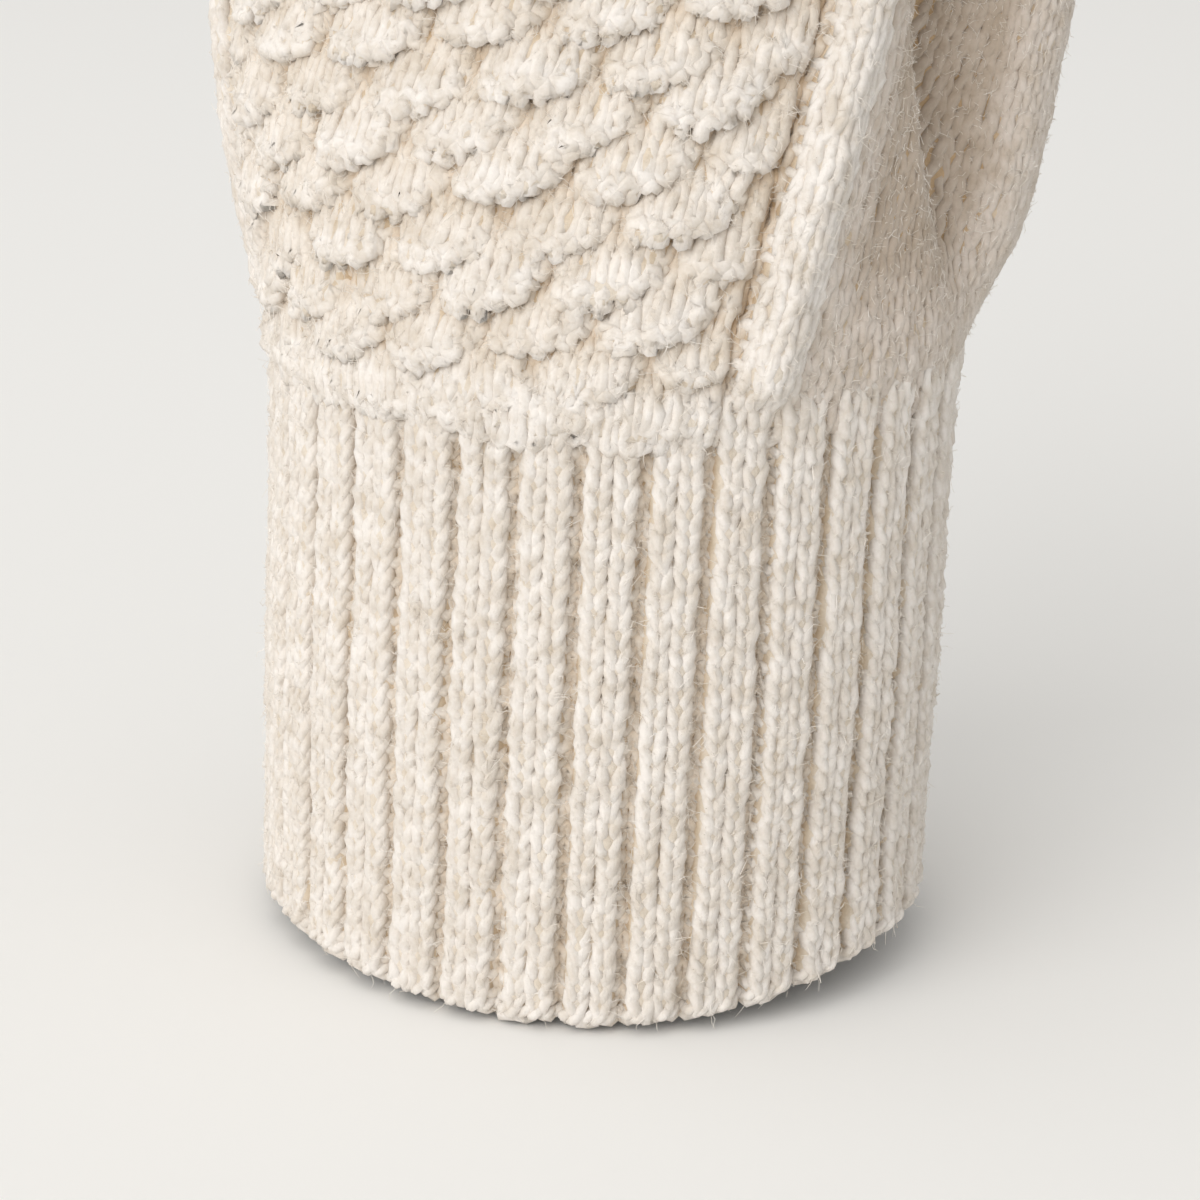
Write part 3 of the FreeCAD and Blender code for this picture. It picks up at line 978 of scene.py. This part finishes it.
def digit_skin(base, along, side, half_width, half_depth, taper, low, high, columns, step=1.0):
    """A tapering tube's grid: its heights are distances along the digit."""
    levels = int((high - low) / step) + 2
    count = columns * GRID_PER_COLUMN
    turn = 2 * math.pi * np.arange(count) / count
    side = unit(side - along * (side @ along))
    depth = np.cross(along, side)
    points = np.zeros((levels, count, 3))
    for level in range(levels):
        at = low + level * step
        share = max(at, 0) / max(high, 1)
        flare = 0.35 * smoothstep(at, high - 6.0, high)
        width = half_width - taper * share + flare
        deep = half_depth - taper * share + flare
        centre = base + along * at
        ring = side * (width * np.cos(turn))[:, None] + depth * (deep * np.sin(turn))[:, None]
        points[level] = centre + ring
    outward = unit(points - points.mean(1, keepdims=True))
    points = points + outward * (0.22 * DRAPE(points * 2.2))[..., None]
    return Skin(points, 0.0, 1.0 / GRID_PER_COLUMN, low, step, True)


def digit(name, base, along, side, half_width, half_depth, taper, length, body, columns,
          low, replaced, edge_replaced, seed):
    """A finger's or the thumb's open tube, its bound-off edge, lining and loose fibre."""
    skin = digit_skin(base, along, side, half_width, half_depth, taper, low - 2, length + 2, columns)

    def band(column, height):
        share = smoothstep(height, length - EDGE_BAND - 1.5, length - EDGE_BAND)
        inside = np.mod(column, 2)
        return -0.55 * share * np.exp(-((inside - 1.5) / 0.4) ** 2)

    def band_face(column, height):
        share = smoothstep(height, length - EDGE_BAND - 1.5, length - EDGE_BAND)
        inside = np.mod(column, 2)
        purl = smoothstep(inside, 0.92, 1.08) * (1 - smoothstep(inside, 1.92, 2.0))
        return 1 - 2 * share * purl

    wall = Knit(skin, HAND_YARN, band, band_face, flat(0.0), inset=0.95)
    tube_rows = heights_between(low, length - EDGE_BAND)
    tube = wall.knit(name + "_knit", PLAIN_WOOL_GREY_SHADED, tube_rows, columns, 0, True)
    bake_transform(finish_piece(tube, replaced))
    edge_rows = heights_between(tube_rows[-1] + ROW, length - 0.9)
    cord = edge_cord(skin, length - 0.1, columns, 0, 0.50, 0.75, band)
    rim = wall.knit(name + "_edge_knit", EDGE_WOOL, edge_rows, columns, 0, True, extra=cord)
    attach(finish_piece(rim, edge_replaced), body)
    lining = wall.backing(name + "_felt", SHADED_FELT, low, length - 0.8, columns, 0, True, per_column=3)
    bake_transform(finish_piece(lining))
    loose = fuzz(name + "_fuzz", wall, np.concatenate([tube_rows, edge_rows]), columns, 0, True,
                 2600, LONG_FIBRE, seed)
    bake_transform(finish_piece(loose))


SIDEWAYS = np.array([1.0, 0.0, 0.0])
for number, (name, base_x, base_z, lean, half_width, half_depth, length) in enumerate(FINGERS):
    tilt = math.radians(lean)
    along = np.array([math.sin(tilt), 0.0, math.cos(tilt)])
    base = np.array([base_x, 0.0, base_z])
    digit(name, base, along, SIDEWAYS, half_width, half_depth, FINGER_TAPER, length,
          name + "_finger", 28, -2.0, [name + "_base", name + "_tube"],
          [name + "_edge"], 31 + number)

thumb_along = unit(THUMB_AIM - THUMB_BEND)
digit("thumb", THUMB_BEND, thumb_along, SIDEWAYS, THUMB_RADIUS, THUMB_RADIUS, THUMB_TAPER,
      THUMB_END, "thumb", 34, -1.0, ["thumb_base", "thumb_tube"],
      ["thumb_edge"], 41)


def crotch(name, left, right, node):
    """The short knitted bridge between two fingers, a saddle that rises towards both."""
    left_x, left_z = left[1] + left[4], left[2]
    right_x, right_z = right[1] - right[4], right[2]
    middle_x = (left_x + right_x) / 2
    middle_z = min(left_z, right_z)
    columns = 7
    half = 6.5
    reach = 4.2
    count = columns * GRID_PER_COLUMN + 1
    levels = 10
    y = np.linspace(-half, half, count)
    points = np.zeros((levels, count, 3))
    for level in range(levels):
        across = -reach + 2 * reach * level / (levels - 1)
        points[level, :, 0] = middle_x - across
        points[level, :, 1] = y
        sag = 2.6 * (np.abs(across) / reach) ** 2
        points[level, :, 2] = middle_z + 0.9 + sag - 2.4 * (np.abs(y) / half) ** 3
    skin = Skin(points, 0.0, 1.0 / GRID_PER_COLUMN, 0.0, 1.0, False)
    wall = Knit(skin, 0.5, flat(0.0), flat(1.0), flat(0.0), inset=0.3)
    bridge = wall.knit(name, PLAIN_WOOL_GREY_SHADED, np.array([2.2, 3.6, 5.0, 6.4]), columns, 0)
    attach(finish_piece(bridge, [node]), "hand")


crotch("crotch_index_middle_knit", FINGERS[1], FINGERS[0], "crotch_index_middle")
crotch("crotch_middle_ring_knit", FINGERS[2], FINGERS[1], "crotch_middle_ring")
crotch("crotch_ring_little_knit", FINGERS[3], FINGERS[2], "crotch_ring_little")


# Floor and light, in metres and watts
PAPER = (0.875, 0.87, 0.855)
DAYLIGHT = (1.0, 0.985, 0.965)
SKYLIGHT = (1.0, 0.99, 0.97)
KEY_PLACE = (-0.96, -2.38, 1.2)
KEY_AIM = (0, 0, 0.07)
KEY_SIZE = 3.0
KEY_POWER = 19.5
KEY_SPREAD = math.radians(95.0)
TOP_PLACE = (-0.4, -0.2, 2.4)
TOP_AIM = (0, 0, 0.05)
TOP_SIZE = 1.8
TOP_POWER = 6.0
AMBIENT = 0.66


def plain_material(name, colour, roughness):
    material = bpy.data.materials.new(name)
    material.use_nodes = True
    shader = material.node_tree.nodes["Principled BSDF"]
    shader.inputs["Base Color"].default_value = (*colour, 1)
    shader.inputs["Roughness"].default_value = roughness
    shader.inputs["Specular IOR Level"].default_value = 0.1
    return material


def floor():
    """A wide pale floor, just under the hem."""
    reach = 9.0
    drop = -0.0004
    corners = [(-reach, -reach, drop), (reach, -reach, drop),
               (reach, reach, drop), (-reach, reach, drop)]
    mesh = bpy.data.meshes.new("floor")
    mesh.from_pydata(corners, [], [(0, 1, 2, 3)])
    made = bpy.data.objects.new("floor", mesh)
    made.data.materials.append(plain_material("paper", PAPER, 0.95))
    bpy.context.scene.collection.objects.link(made)
    return made


floor()


def area_light(name, place, target, size, power, colour, spread=math.pi):
    data = bpy.data.lights.new(name, "AREA")
    data.shape = "DISK"
    data.size = size
    data.energy = power
    data.spread = spread
    data.color = colour
    light = bpy.data.objects.new(name, data)
    light.location = place
    way = Vector(target) - Vector(place)
    light.rotation_euler = way.to_track_quat("-Z", "Y").to_euler()
    bpy.context.scene.collection.objects.link(light)


area_light("key", KEY_PLACE, KEY_AIM, KEY_SIZE, KEY_POWER, DAYLIGHT, KEY_SPREAD)
area_light("top", TOP_PLACE, TOP_AIM, TOP_SIZE, TOP_POWER, SKYLIGHT)

world = bpy.data.worlds.new("studio")
world.use_nodes = True
world.node_tree.nodes["Background"].inputs["Color"].default_value = (*SKYLIGHT, 1)
world.node_tree.nodes["Background"].inputs["Strength"].default_value = AMBIENT
bpy.context.scene.world = world
bpy.context.scene.view_settings.view_transform = "Standard"

# Camera: above and in front of the back of the hand, a little to the thumb side
CAMERA_TURN = math.radians(15.0)
CAMERA_AWAY = 0.3175
CAMERA_HEIGHT = 0.137
CAMERA_PITCH = math.radians(-18.2)
CAMERA_ROLL = math.radians(2.4)
LENS = 99.0
SENSOR = 36.0
SHIFT_X = -0.0025
ahead = Vector((-math.sin(CAMERA_TURN) * math.cos(CAMERA_PITCH),
                math.cos(CAMERA_TURN) * math.cos(CAMERA_PITCH), math.sin(CAMERA_PITCH)))
level_right = Vector((math.cos(CAMERA_TURN), math.sin(CAMERA_TURN), 0))
level_up = level_right.cross(ahead)
camera_right = level_right * math.cos(CAMERA_ROLL) + level_up * math.sin(CAMERA_ROLL)
camera_up = -level_right * math.sin(CAMERA_ROLL) + level_up * math.cos(CAMERA_ROLL)
camera_data = bpy.data.cameras.new("camera")
camera_data.sensor_width = SENSOR
camera_data.lens = LENS
camera_data.shift_x = SHIFT_X
camera_data.clip_start = 0.01
camera = bpy.data.objects.new("camera", camera_data)
turned = Matrix((camera_right, camera_up, -ahead)).transposed().to_4x4()
place = Vector((CAMERA_AWAY * math.sin(CAMERA_TURN), -CAMERA_AWAY * math.cos(CAMERA_TURN),
                CAMERA_HEIGHT))
camera.matrix_world = Matrix.Translation(place) @ turned
bpy.context.scene.collection.objects.link(camera)
bpy.context.scene.camera = camera
